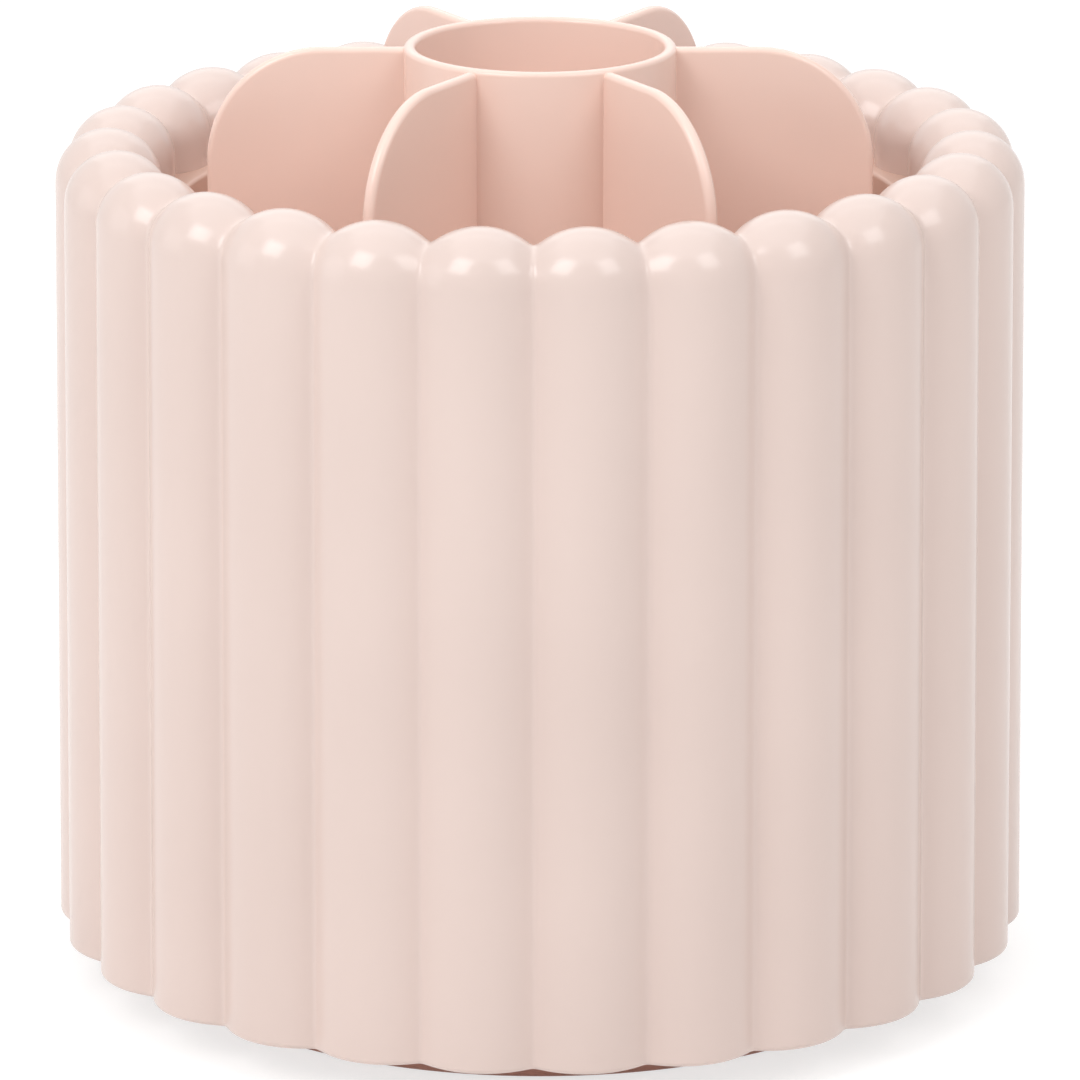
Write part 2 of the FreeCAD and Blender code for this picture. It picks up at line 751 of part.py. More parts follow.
def write_parts(parts):
    """Checks every object and every part, then writes one file a part."""
    doc.recompute()
    failed = [o.Name for o in doc.Objects if {"Invalid", "Error"} & set(o.State)]
    if failed:
        raise RuntimeError(f"failed objects: {failed}")
    for part in parts:
        if part.Shape.isNull() or not part.Shape.isValid():
            raise RuntimeError(f"{part.Label} has no valid shape")
    os.makedirs("parts", exist_ok=True)
    for part in parts:
        part.Shape.exportStep(f"parts/{part.Label}.step")
        print(f"{part.Label}: {len(part.Shape.Solids)} solid, {part.Shape.Volume / 1000:.2f} cm3")


parts = [
    make_outer_shell(),
    make_inner_cup(),
    make_divider(),
    make_turntable_plate(),
    make_cover_screws(),
    make_base_plate(),
    make_pivot_washer(),
    make_pivot_screw(),
    make_ball_cage(),
]
parts += [make_ball(i + 1) for i in range(round(value("ball_count")))]
parts += [make_foot_pad(i + 1) for i in range(round(value("pad_count")))]
write_parts(parts)
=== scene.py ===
# %% [markdown]
# # A turning pot for makeup brushes
# The object is a round pot of pale moulded plastic. Its wall is a ring of upright flutes with domed tops,
# a smooth cup fills it, and a loose divider with a centre tube and six fins stands in the cup. The pot
# turns on a low foot that hides a ball bearing. The construction comes in finished, at its real size, as
# the frame of this scene. Here it gets its surfaces, its light and its camera.

# %% Load the frame
import json
import math

import bmesh
import bpy
from mathutils import Matrix, Vector


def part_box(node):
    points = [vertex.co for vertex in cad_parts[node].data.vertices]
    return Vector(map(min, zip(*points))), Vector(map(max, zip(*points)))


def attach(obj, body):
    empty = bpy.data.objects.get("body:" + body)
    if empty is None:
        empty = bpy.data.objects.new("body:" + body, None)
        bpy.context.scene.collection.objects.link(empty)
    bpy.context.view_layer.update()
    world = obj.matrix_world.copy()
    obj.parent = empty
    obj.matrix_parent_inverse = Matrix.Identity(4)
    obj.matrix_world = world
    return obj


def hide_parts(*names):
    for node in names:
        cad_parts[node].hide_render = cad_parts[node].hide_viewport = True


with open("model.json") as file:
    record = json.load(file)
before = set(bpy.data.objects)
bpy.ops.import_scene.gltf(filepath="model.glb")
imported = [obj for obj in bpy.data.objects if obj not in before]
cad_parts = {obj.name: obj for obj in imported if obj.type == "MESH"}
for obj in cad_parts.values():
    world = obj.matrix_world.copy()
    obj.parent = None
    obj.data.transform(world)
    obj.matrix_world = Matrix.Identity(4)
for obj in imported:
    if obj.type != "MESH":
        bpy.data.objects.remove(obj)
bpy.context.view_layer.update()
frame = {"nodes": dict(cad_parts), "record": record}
MM = 0.001

# %% [markdown]
# ## Camera
# The photograph looks slightly down on the pot through a long lens from close to a metre away, which
# keeps the upright flutes parallel. The lens follows from how many pixels of the picture a slope of one
# covers. The pot stands a little high in the picture, and a small lens shift does that without tilting
# the flutes.

# %% Place the camera
CAMERA_DISTANCE = 0.882
CAMERA_RISE = math.radians(16.42)
AIM_HEIGHT = 0.0608
SENSOR_WIDTH = 36.0
PICTURE_SIZE = 1080
PIXELS_PER_SLOPE = 6491.5
AIM_ROW = 519.1

camera_data = bpy.data.cameras.new("camera")
camera_data.sensor_width = SENSOR_WIDTH
camera_data.lens = PIXELS_PER_SLOPE / PICTURE_SIZE * SENSOR_WIDTH
camera_data.shift_y = (AIM_ROW - PICTURE_SIZE / 2) / PICTURE_SIZE
camera = bpy.data.objects.new("camera", camera_data)
bpy.context.scene.collection.objects.link(camera)
camera.location = (
    0,
    -CAMERA_DISTANCE * math.cos(CAMERA_RISE),
    AIM_HEIGHT + CAMERA_DISTANCE * math.sin(CAMERA_RISE),
)
camera.rotation_euler = (math.pi / 2 - CAMERA_RISE, 0, 0)
bpy.context.scene.camera = camera
bpy.context.scene.view_settings.view_transform = "Standard"
print("lens:", round(camera_data.lens, 1), "mm, shift:", round(camera_data.shift_y, 4))

# %% [markdown]
# ## Materials
# Colours are written as sRGB hex codes, as a maker would read them off a swatch, and one function turns
# them into the linear values that the shader wants. One helper adds a shader node, sets its values and
# links it, so a material reads as a short list of nodes.

# %% Colours
def linear(code):
    """The linear colour of an sRGB hex code."""
    parts = [int(code[i : i + 2], 16) / 255 for i in (1, 3, 5)]
    return [v / 12.92 if v <= 0.04045 else ((v + 0.055) / 1.055) ** 2.4 for v in parts] + [1.0]


WHITE = linear("#FFFFFF")
print("middle grey #808080 is linear", [round(v, 3) for v in linear("#808080")])

# %% Nodes
# The colour sockets of a Mix node share their names with its other sockets, so they go by number.
MIX_A, MIX_B, MIX_RESULT = 6, 7, 2


def add_node(tree, kind, settings=None, links=None):
    """Adds a node, sets its sockets or properties, and links other nodes' outputs to its sockets."""
    node = tree.nodes.new(kind)
    for name, setting in (settings or {}).items():
        if isinstance(name, int) or name in node.inputs:
            node.inputs[name].default_value = setting
        else:
            setattr(node, name, setting)
    for name, source in (links or {}).items():
        tree.links.new(source, node.inputs[name])
    return node


def new_material(name):
    """A material with an empty node tree, and that tree."""
    material = bpy.data.materials.new(name)
    material.use_nodes = True
    tree = material.node_tree
    tree.nodes.clear()
    return material, tree


# %% [markdown]
# ### Moulded plastic
# The pot, the cup and the divider are injection-moulded ABS from a finely polished tool. ABS has an IOR
# of about 1.53, so it shows a clear highlight over a soft body colour. A polished moulding still isn't a
# mirror: the surface swells and sinks by a few micrometres over two or three millimetres, which frays the
# edge of each highlight. Its tint and its gloss drift over a few centimetres, but only a little: a wider
# range of roughness would draw faint contour lines on the flutes, where one shade of gloss meets the next.

# %% Mould a plastic
ABS_IOR = 1.53
PEEL_WIDTH = 3.2 * MM
PEEL_DEPTH = 0.003 * MM
GLOSS_PATCH = 22 * MM
TINT_PATCH = 34 * MM
DRIFT_RANGE = {"From Min": 0.2, "From Max": 0.8, "interpolation_type": "SMOOTHSTEP"}


def moulded_plastic(name, tint, deep_tint, smooth, rough, peel_depth=PEEL_DEPTH):
    """Plastic whose colour drifts from tint to deep_tint and its roughness from smooth to rough."""
    material, tree = new_material(name)
    place = {"Vector": add_node(tree, "ShaderNodeTexCoord").outputs["Object"]}
    drift = add_node(tree, "ShaderNodeTexNoise", {"Scale": 1 / TINT_PATCH, "Detail": 1.0}, place)
    share = add_node(tree, "ShaderNodeMapRange", DRIFT_RANGE, {"Value": drift.outputs["Fac"]})
    colour = add_node(
        tree,
        "ShaderNodeMix",
        {"data_type": "RGBA", MIX_A: linear(tint), MIX_B: linear(deep_tint)},
        {"Factor": share.outputs["Result"]},
    )
    patches = add_node(tree, "ShaderNodeTexNoise", {"Scale": 1 / GLOSS_PATCH, "Detail": 1.0}, place)
    roughness = add_node(
        tree,
        "ShaderNodeMapRange",
        DRIFT_RANGE | {"To Min": smooth, "To Max": rough},
        {"Value": patches.outputs["Fac"]},
    )
    peel = add_node(tree, "ShaderNodeTexNoise", {"Scale": 1 / PEEL_WIDTH, "Detail": 0.0}, place)
    bump = add_node(
        tree,
        "ShaderNodeBump",
        {"Strength": 1.0, "Distance": peel_depth},
        {"Height": peel.outputs["Fac"]},
    )
    shader = add_node(
        tree,
        "ShaderNodeBsdfPrincipled",
        {"IOR": ABS_IOR},
        {
            "Base Color": colour.outputs[MIX_RESULT],
            "Roughness": roughness.outputs["Result"],
            "Normal": bump.outputs["Normal"],
        },
    )
    add_node(tree, "ShaderNodeOutputMaterial", {}, {"Surface": shader.outputs["BSDF"]})
    return material


# %% [markdown]
# The pot is polished most, the divider a little less, and the cup is left as it comes from a plain mould.
# The foot is the pot's blush plastic, given a darker colour as painted shade for its place under the pot,
# with a fine grain whose swells are about three times as deep. The bearing's cage and the pivot's washer
# are nylon, which is cloudy and dull.

# %% Mix the plastics
GRAIN_DEPTH = 0.010 * MM

pot_abs = moulded_plastic("blush ABS, satin polished", "#E1CDC5", "#DDC9C1", 0.203, 0.222)
cup_abs = moulded_plastic("blush ABS, plain moulded", "#E2C0B0", "#DEBBAB", 0.358, 0.384)
divider_abs = moulded_plastic("rose ABS, satin moulded", "#F8DACD", "#F5D6C9", 0.230, 0.255)
# The foot's darker colour is painted shade: it is the blush plastic, darkened to look as it does under the
# pot.
foot_abs_painted_shade = moulded_plastic("blush ABS with painted shade, fine grain", "#CB9383", "#C58C7B", 0.423, 0.448, GRAIN_DEPTH)
nylon = moulded_plastic("natural nylon, moulded", "#EBE7DC", "#E3DFD2", 0.487, 0.513)
print("plastics:", [m.name for m in (pot_abs, cup_abs, divider_abs, foot_abs_painted_shade, nylon)])

# %% [markdown]
# ### Steel
# The balls are through-hardened bearing steel, lapped to a mirror. The screws are zinc-plated: the plating
# leaves fine crystals that blur the reflection.

# %% Steel
PLATING_GRAIN = 0.25 * MM


def plated_steel(name, colour, smooth, rough):
    """Steel whose roughness changes from smooth to rough from grain to grain."""
    material, tree = new_material(name)
    place = {"Vector": add_node(tree, "ShaderNodeTexCoord").outputs["Object"]}
    grain = add_node(tree, "ShaderNodeTexNoise", {"Scale": 1 / PLATING_GRAIN, "Detail": 2.0}, place)
    roughness = add_node(
        tree, "ShaderNodeMapRange", {"To Min": smooth, "To Max": rough}, {"Value": grain.outputs["Fac"]}
    )
    shader = add_node(
        tree,
        "ShaderNodeBsdfPrincipled",
        {"Base Color": linear(colour), "Metallic": 1.0},
        {"Roughness": roughness.outputs["Result"]},
    )
    add_node(tree, "ShaderNodeOutputMaterial", {}, {"Surface": shader.outputs["BSDF"]})
    return material


bearing_steel = plated_steel("bearing steel, lapped", "#C8C8C6", 0.06, 0.12)
zinc_steel = plated_steel("zinc-plated steel", "#C3C5C6", 0.25, 0.42)
print("metals:", [m.name for m in (bearing_steel, zinc_steel)])

# %% [markdown]
# ### Rubber
# The pads are cut from sheet rubber, which is matt and has a fine crumb. The crumb is both a little
# lighter than the rest and a little higher, so one noise drives the colour and the bump.

# %% Rubber
CRUMB = 0.4 * MM
CRUMB_DEPTH = 0.02 * MM
RUBBER_IOR = 1.52
RUBBER_ROUGHNESS = 0.8


def sheet_rubber(name, colour, crumb_colour):
    """Matt rubber with a raised crumb of crumb_colour."""
    material, tree = new_material(name)
    place = {"Vector": add_node(tree, "ShaderNodeTexCoord").outputs["Object"]}
    crumb = add_node(tree, "ShaderNodeTexNoise", {"Scale": 1 / CRUMB, "Detail": 3.0}, place)
    tone = add_node(
        tree,
        "ShaderNodeMix",
        {"data_type": "RGBA", MIX_A: linear(colour), MIX_B: linear(crumb_colour)},
        {"Factor": crumb.outputs["Fac"]},
    )
    bump = add_node(
        tree,
        "ShaderNodeBump",
        {"Strength": 1.0, "Distance": CRUMB_DEPTH},
        {"Height": crumb.outputs["Fac"]},
    )
    shader = add_node(
        tree,
        "ShaderNodeBsdfPrincipled",
        {"Roughness": RUBBER_ROUGHNESS, "IOR": RUBBER_IOR},
        {"Base Color": tone.outputs[MIX_RESULT], "Normal": bump.outputs["Normal"]},
    )
    add_node(tree, "ShaderNodeOutputMaterial", {}, {"Surface": shader.outputs["BSDF"]})
    return material


rubber = sheet_rubber("nitrile rubber, sheet", "#262524", "#34312F")
print("rubber:", rubber.name)

# %% [markdown]
# ## Shaping helpers
# Most pieces of this pot are turned or patterned shapes. A profile is drawn once as a few corners in the
# upright plane, its corners are rounded with a vertex bevel, and a spin about the turning axis makes the
# solid. That is how a lathe operator reads the piece, and it keeps every size in one short list.

# %% Round and draw
FACETS_PER_MM = 3
LEAST_FACETS = 4


def ease(bm, geom, radius, affect, segments):
    """Rounds the vertices or edges in geom to a radius in mm."""
    bmesh.ops.bevel(
        bm,
        geom=geom,
        offset=radius * MM,
        offset_type="OFFSET",
        affect=affect,
        segments=segments,
        profile=0.5,
        material=-1,
        clamp_overlap=False,
    )


def wire(corners, closed=True):
    """A bmesh wire through corners in the plane y = 0: across, up and, if rounded, a radius, in mm."""
    bm = bmesh.new()
    spots = [bm.verts.new((corner[0] * MM, 0, corner[1] * MM)) for corner in corners]
    for here, ahead in zip(spots, spots[1:] + (spots[:1] if closed else [])):
        bm.edges.new((here, ahead))
    for radius in sorted({corner[2] for corner in corners if len(corner) > 2}):
        rounded = [spot for spot, corner in zip(spots, corners) if corner[2:] == (radius,)]
        ease(bm, rounded, radius, "VERTICES", max(LEAST_FACETS, round(FACETS_PER_MM * radius)))
    return bm


# %% Spin and turn
UP = (0, 0, 1)
FULL_TURN = 2 * math.pi


def spin(bm, steps, angle=FULL_TURN, copies=False):
    """Sweeps everything in bm about the upright axis, or sets copies of it around that axis."""
    bmesh.ops.spin(
        bm,
        geom=bm.verts[:] + bm.edges[:] + bm.faces[:],
        cent=(0, 0, 0),
        axis=UP,
        angle=angle,
        steps=steps,
        use_merge=angle == FULL_TURN,
        use_duplicate=copies,
    )


def turn_by(bm, angle):
    """Turns everything in bm about the upright axis."""
    bmesh.ops.rotate(bm, cent=(0, 0, 0), matrix=Matrix.Rotation(angle, 3, "Z"), verts=bm.verts[:])


# %% [markdown]
# A spun shape has doubled points where it meets itself or its axis. They are merged, and only then are the
# faces turned outwards. Real creases stay sharp, and everything flatter is shaded smooth.

# %% Close up and shade
WELD = 0.001
SHARP_ANGLE = math.radians(38)


def close_up(bm):
    """Merges doubles and turns the faces outwards."""
    bmesh.ops.remove_doubles(bm, verts=bm.verts[:], dist=WELD * MM)
    bmesh.ops.recalc_face_normals(bm, faces=bm.faces[:])


def shade(mesh):
    """Shades a mesh smooth between its creases."""
    mesh.shade_smooth()
    mesh.set_sharp_from_angle(angle=SHARP_ANGLE)


def make_object(name, bm, material=None):
    """Puts bm into a new object."""
    mesh = bpy.data.meshes.new(name)
    bm.to_mesh(mesh)
    bm.free()
    shade(mesh)
    if material:
        mesh.materials.append(material)
    piece = bpy.data.objects.new(name, mesh)
    bpy.context.scene.collection.objects.link(piece)
    return piece


# %% [markdown]
# A finished piece rides on a body of the frame, so it moves when that body does, and it stands for the
# part that it replaces. It reports how many of its edges are open: a closed solid has none.

# %% Hand over
def count_open_edges(piece):
    """How many edges of the piece don't have a face on both sides."""
    bm = bmesh.new()
    bm.from_mesh(piece.data)
    count = sum(not edge.is_manifold for edge in bm.edges)
    bm.free()
    return count


def hand_over(piece, body, slot, *nodes):
    """Rides the piece on its body in place of the CAD nodes, and reports its faces and open edges."""
    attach(piece, body)
    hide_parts(*nodes)
    print(f"{piece.name}: {len(piece.data.polygons)} faces, {count_open_edges(piece)} open edges")


# %% [markdown]
# Some forms are easiest as separate solids that are then joined, such as keys on a step, or cut out, such
# as slots. The exact boolean solver keeps the result closed. The modifier's result becomes the mesh, so no
# live modifier is left on the piece.

# %% Join or cut
def merge_solid(piece, tool, operation):
    """Joins the tool to the piece, or cuts it out, and deletes the tool."""
    modifier = piece.modifiers.new(operation.lower(), "BOOLEAN")
    modifier.operation = operation
    modifier.solver = "EXACT"
    modifier.object = tool
    bpy.context.view_layer.update()
    depsgraph = bpy.context.evaluated_depsgraph_get()
    result = bpy.data.meshes.new_from_object(piece.evaluated_get(depsgraph))
    piece.modifiers.clear()
    piece.data = result
    shade(result)
    bpy.data.objects.remove(tool)


# %% [markdown]
# ## The fluted wall
# Seen from above, each flute is a lens: two equal arcs back to back. Its top is the same outline turned
# over the lens's long axis, so every upright section through the wall is a straight leg with a half-round
# top, and only the thickness changes from the middle of a flute to the valley. So one section is drawn at
# a flute's crest and spun over one flute, and then each upright column of points is squeezed to the
# thickness that the two arcs give at its angle. The squeezed flute is repeated around the pot. Sculpting
# or boolean unions would give the same form, but not the clean columns that a soft highlight needs.
#
# Sizes are in millimetres from here on. The ring runs through the flutes' middles, a flute's half is half
# its thickness at the crest, and its arc is the radius of both its faces.

# %% Sizes of the wall
shell_low, shell_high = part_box("outer_shell")
POT_TOP = shell_high.z / MM
POT_FOOT = shell_low.z / MM
FLUTES = 27
FIRST_FLUTE = math.radians(-84.09)
FLUTE_STEP = FULL_TURN / FLUTES
FLUTE_RING = 57.6
FLUTE_HALF = 7.1
FLUTE_ARC = 9.5
DOME_LEVEL = POT_TOP - FLUTE_HALF
print(f"wall from {POT_FOOT:.2f} to {POT_TOP:.2f} mm, domes spring from {DOME_LEVEL:.2f} mm")

# %% [markdown]
# The section runs out under the foot, around its rounding, up the outside, over the dome and down the
# inside. There it steps out over the cup's ledge, hangs down around it as a collar, and goes up behind the
# collar to the roof of the hollow wall, whose bore leads back down to the foot.

# %% Draw straight and round lines
def arc(bm, start, centre, angle, steps):
    """Swings the vertex start around centre in the plane y = 0 and returns the last vertex."""
    result = bmesh.ops.spin(
        bm,
        geom=[start],
        cent=(centre[0] * MM, 0, centre[1] * MM),
        axis=(0, 1, 0),
        angle=angle,
        steps=steps,
    )
    return result["geom_last"][0]


def leg(bm, start, *stops):
    """Draws straight edges from the vertex start through stops and returns the last vertex."""
    for across, up in stops:
        fresh = bmesh.ops.extrude_vert_indiv(bm, verts=[start])["verts"][0]
        fresh.co = (across * MM, 0, up * MM)
        start = fresh
    return start


# %% The section at a crest
FOOT_ROUND = 0.8
FOOT_STEPS = 6
DOME_STEPS = 26
SHELL_BORE = 60.0
CUP_DROP = 10.65
LEDGE_RADIUS = 53.2
COLLAR_GAP = 0.2
COLLAR_HEIGHT = 3.0
SKIRT_RADIUS = 55.8
ROOF_THICK = 7.4
RIM_LEVEL = POT_TOP - CUP_DROP

crest, back = FLUTE_RING + FLUTE_HALF, FLUTE_RING - FLUTE_HALF
collar = LEDGE_RADIUS + COLLAR_GAP
section = bmesh.new()
first = section.verts.new((SHELL_BORE * MM, 0, POT_FOOT * MM))
pen = leg(section, first, (crest - FOOT_ROUND, POT_FOOT))
pen = arc(section, pen, (crest - FOOT_ROUND, POT_FOOT + FOOT_ROUND), -math.pi / 2, FOOT_STEPS)
pen = leg(section, pen, (crest, DOME_LEVEL))
pen = arc(section, pen, (FLUTE_RING, DOME_LEVEL), -math.pi, DOME_STEPS)
pen = leg(
    section,
    pen,
    (back, RIM_LEVEL),
    (collar, RIM_LEVEL),
    (collar, RIM_LEVEL - COLLAR_HEIGHT),
    (SKIRT_RADIUS, RIM_LEVEL - COLLAR_HEIGHT),
    (SKIRT_RADIUS, POT_TOP - ROOF_THICK),
    (SHELL_BORE, POT_TOP - ROOF_THICK),
)
section.edges.new((pen, first))
print("section points:", len(section.verts))

# %% [markdown]
# A valley in moulded plastic is never knife-sharp, so the distance to the valley is softened by half a
# millimetre. The surface turns fastest there, so the columns of points gather at the valleys and spread
# out over the broad face of the flute.

# %% The thickness at an angle
VALLEY_SOFTNESS = 0.5
GATHER = 1.5


def wall_radii(turn):
    """Inner and outer radius of the wall, in mm, at turn radians from a crest."""
    to_valley = (FLUTE_STEP / 2 - abs(turn)) * FLUTE_RING
    soft = math.hypot(to_valley, VALLEY_SOFTNESS) / FLUTE_RING
    turn = FLUTE_STEP / 2 - soft
    shift = FLUTE_ARC - FLUTE_HALF
    near, far = FLUTE_RING - shift, FLUTE_RING + shift
    outside = near * math.cos(turn) + math.sqrt(FLUTE_ARC**2 - (near * math.sin(turn)) ** 2)
    inside = far * math.cos(turn) - math.sqrt(FLUTE_ARC**2 - (far * math.sin(turn)) ** 2)
    return inside, outside


def towards_valley(share):
    """Moves a column, given as a share of half a flute, so that columns gather at the valleys."""
    return math.copysign(1 - (1 - min(abs(share), 1)) ** GATHER, share)


valley_inside, valley_outside = wall_radii(FLUTE_STEP / 2)
print(f"valley from {valley_inside:.2f} to {valley_outside:.2f} mm")

# %% [markdown]
# The squeeze treats a column in three groups. The dome shrinks in width and height alike, so that it stays
# half round. The straight legs shrink in width alone. The foot also moves outwards, because the wall leans
# out a little on its way down. It stops a hair short, so that the wall keeps inside its construction box.
# The groups are told apart by place, with a little slack, because a turned point is never exactly level.

# %% Squeeze a column
WALL_LEAN = math.radians(0.77)
HAIR = 0.02
SLACK = 0.01


def off_ring(vertex):
    """How far, in mm, a vertex stands off the ring that runs through the flutes' middles."""
    return abs(math.hypot(vertex.co.x, vertex.co.y) / MM - FLUTE_RING)


def squeeze(bm, column, share_of_half):
    """Fits one upright column of the section to the wall's thickness at its place in the flute."""
    start = share_of_half * FLUTE_STEP / 2
    turn = towards_valley(share_of_half) * FLUTE_STEP / 2
    inside, outside = wall_radii(turn)
    share = (outside - inside) / (2 * FLUTE_HALF)
    facing = Matrix.Rotation(turn, 4, "Z")
    bmesh.ops.rotate(bm, cent=(0, 0, 0), matrix=Matrix.Rotation(turn - start, 3, "Z"), verts=column)
    from_crest = Matrix.Translation((-FLUTE_RING * MM, 0, -DOME_LEVEL * MM)) @ facing.inverted()
    to_wall = facing @ Matrix.Translation(((inside + outside) / 2 * MM, 0, DOME_LEVEL * MM))
    dome = [v for v in column if v.co.z > (DOME_LEVEL + SLACK) * MM]
    legs = [v for v in column if v not in dome and off_ring(v) > FLUTE_HALF - FOOT_ROUND - SLACK]
    foot = [v for v in legs if v.co.z < (POT_FOOT + FOOT_ROUND + SLACK) * MM]
    smaller = Matrix.Diagonal((share, 1, share, 1))
    thinner = Matrix.Diagonal((share, 1, 1, 1))
    bmesh.ops.transform(bm, matrix=to_wall @ smaller @ from_crest, verts=dome)
    bmesh.ops.transform(bm, matrix=to_wall @ thinner @ from_crest, verts=legs)
    spread = (DOME_LEVEL - POT_FOOT - FOOT_ROUND) * math.tan(WALL_LEAN) - HAIR
    bmesh.ops.translate(bm, vec=facing @ Vector((spread * MM, 0, 0)), verts=foot)


# %% Spin, squeeze and repeat
COLUMNS = 36

turn_by(section, -FLUTE_STEP / 2)
spin(section, COLUMNS, FLUTE_STEP)
columns = {}
for vertex in section.verts:
    angle = math.atan2(vertex.co.y, vertex.co.x)
    columns.setdefault(round(angle / FLUTE_STEP * COLUMNS), []).append(vertex)
for place, column in columns.items():
    squeeze(section, column, place * 2 / COLUMNS)
print("one flute:", len(columns), "columns,", len(section.faces), "faces")
spin(section, FLUTES - 1, FLUTE_STEP * (FLUTES - 1), copies=True)
turn_by(section, FIRST_FLUTE)
close_up(section)
shell = make_object("fluted_wall", section, pot_abs)

# %% [markdown]
# Three posts stand inside the wall and take the screws that hold the turntable plate. Each is a short tube
# with a blind hole, made by spinning its own section about its own axis.

# %% Screw posts
PLATE_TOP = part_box("turntable_plate")[1].z / MM
POST_RING = 56.6
POST_RADIUS = 3.6
POST_HEIGHT = 16.0
POST_BORE = 1.45
POST_BORE_DEPTH = 12.3
POST_FACETS = 32
POSTS = 3

for number in range(POSTS):
    post = wire(
        [
            (0, PLATE_TOP + POST_HEIGHT),
            (POST_RADIUS, PLATE_TOP + POST_HEIGHT),
            (POST_RADIUS, PLATE_TOP),
            (POST_BORE, PLATE_TOP),
            (POST_BORE, PLATE_TOP + POST_BORE_DEPTH),
            (0, PLATE_TOP + POST_BORE_DEPTH),
        ],
        closed=False,
    )
    spin(post, POST_FACETS)
    close_up(post)
    bmesh.ops.translate(post, vec=(POST_RING * MM, 0, 0), verts=post.verts[:])
    turn_by(post, FIRST_FLUTE + (number + 0.5) * FULL_TURN / POSTS)
    merge_solid(shell, make_object("post", post), "UNION")
hand_over(shell, "pot", "pot_plastic", "outer_shell")

# %% [markdown]
# ## The smooth cup
# The cup is one turned shape: a thin wall that widens a little upwards so that it leaves its mould, a flat
# ledge around its rim that lies under the flutes and shows as a pale band between them, a ring that it
# stands on, and a round step in the floor that centres the divider's tube.

# %% Turn the cup
CUP_MOUTH = 48.6
CUP_WALL = 2.0
LEDGE_THICK = 2.0
CUP_TAPER = 0.8
CUP_FLOOR = 2.0
CUP_CORNER = 2.0
CUP_LIP = 0.6
CUP_FACETS = 192
STAND_RADIUS = 46.0
STAND_WIDTH = 2.0
STAND_HEIGHT = 1.5
STEP_RADIUS = 16.35
STEP_HEIGHT = 4.0
FLOOR_UNDER = PLATE_TOP + STAND_HEIGHT
FLOOR_TOP = FLOOR_UNDER + CUP_FLOOR

cup_wire = wire(
    [
        (0, FLOOR_TOP + STEP_HEIGHT),
        (STEP_RADIUS, FLOOR_TOP + STEP_HEIGHT, CUP_LIP),
        (STEP_RADIUS, FLOOR_TOP),
        (CUP_MOUTH - CUP_TAPER, FLOOR_TOP, CUP_CORNER),
        (CUP_MOUTH, RIM_LEVEL, CUP_LIP),
        (LEDGE_RADIUS, RIM_LEVEL),
        (LEDGE_RADIUS, RIM_LEVEL - LEDGE_THICK),
        (CUP_MOUTH + CUP_WALL, RIM_LEVEL - LEDGE_THICK),
        (CUP_MOUTH + CUP_WALL - CUP_TAPER, FLOOR_UNDER, CUP_CORNER),
        (STAND_RADIUS, FLOOR_UNDER),
        (STAND_RADIUS, PLATE_TOP),
        (STAND_RADIUS - STAND_WIDTH, PLATE_TOP),
        (STAND_RADIUS - STAND_WIDTH, FLOOR_UNDER),
        (STEP_RADIUS - CUP_FLOOR, FLOOR_UNDER),
        (STEP_RADIUS - CUP_FLOOR, FLOOR_UNDER + STEP_HEIGHT),
        (0, FLOOR_UNDER + STEP_HEIGHT),
    ],
    closed=False,
)
spin(cup_wire, CUP_FACETS)
close_up(cup_wire)
cup = make_object("smooth_cup", cup_wire, cup_abs)
print(f"cup from {PLATE_TOP:.2f} to {RIM_LEVEL:.2f} mm, its floor at {FLOOR_TOP:.2f} mm")

# %% [markdown]
# Two keys on the step fit slots in the divider's tube and stop it turning. They are small blocks that are
# joined to the turned shape.

# %% Keys on the step
KEY_WIDTH = 3.0
KEY_GAP = 0.2
KEY_ROOT = 1.0
KEY_TURN = math.radians(30)
TUBE_RADIUS = 18.15
both_keys = (KEY_TURN, KEY_TURN + math.pi)


def block(low, high, turns):
    """Upright blocks from corner low to corner high, in mm, each turned about the axis."""
    bm = bmesh.new()
    size = Vector(high) - Vector(low)
    middle = (Vector(high) + Vector(low)) / 2
    for turn in turns:
        place = Matrix.Rotation(turn, 4, "Z") @ Matrix.Translation(middle * MM)
        bmesh.ops.create_cube(bm, size=1, matrix=place @ Matrix.Diagonal((*(size * MM), 1)))
    bmesh.ops.recalc_face_normals(bm, faces=bm.faces[:])
    return bm


keys = block(
    (STEP_RADIUS - KEY_ROOT, -KEY_WIDTH / 2, FLOOR_TOP - CUP_FLOOR / 2),
    (TUBE_RADIUS, KEY_WIDTH / 2, FLOOR_TOP + STEP_HEIGHT - CUP_LIP),
    both_keys,
)
merge_solid(cup, make_object("keys", keys), "UNION")
hand_over(cup, "pot", "cup_plastic", "inner_cup")

# %% [markdown]
# ## The divider
# The divider is a tube with six thin fins. A fin is a flat plate with one big rounded corner, and all its
# free edges are eased, which is what draws the pale line around each fin. The plate is drawn as a face,
# extruded to its thickness and bevelled, then repeated around the tube and joined to it. The fins start a
# hair above the tube's foot, because a boolean needs surfaces that cross, not ones that lie on each other.

# %% Turn the tube
DIVIDER_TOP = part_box("divider")[1].z / MM
TUBE_BORE = 16.55
TUBE_LIP = 0.7
TUBE_FACETS = 144

tube_wire = wire(
    [
        (TUBE_BORE, FLOOR_TOP),
        (TUBE_RADIUS, FLOOR_TOP),
        (TUBE_RADIUS, DIVIDER_TOP, TUBE_LIP),
        (TUBE_BORE, DIVIDER_TOP, TUBE_LIP),
    ]
)
spin(tube_wire, TUBE_FACETS)
close_up(tube_wire)
divider = make_object("divider_with_fins", tube_wire, divider_abs)
print(f"tube up to {DIVIDER_TOP:.2f} mm, {DIVIDER_TOP - POT_TOP:.2f} mm above the pot")

# %% Draw one fin
FIN_REACH = 44.5
FIN_THICK = 1.8
FIN_CORNER = 15.5
FIN_INSET = 0.8
FIN_DROP = 0.4
FIN_ROOT = TUBE_RADIUS - FIN_INSET
FIN_FOOT = FLOOR_TOP + HAIR
FIN_TOP = DIVIDER_TOP - FIN_DROP
CORNER_SEGMENTS = 32

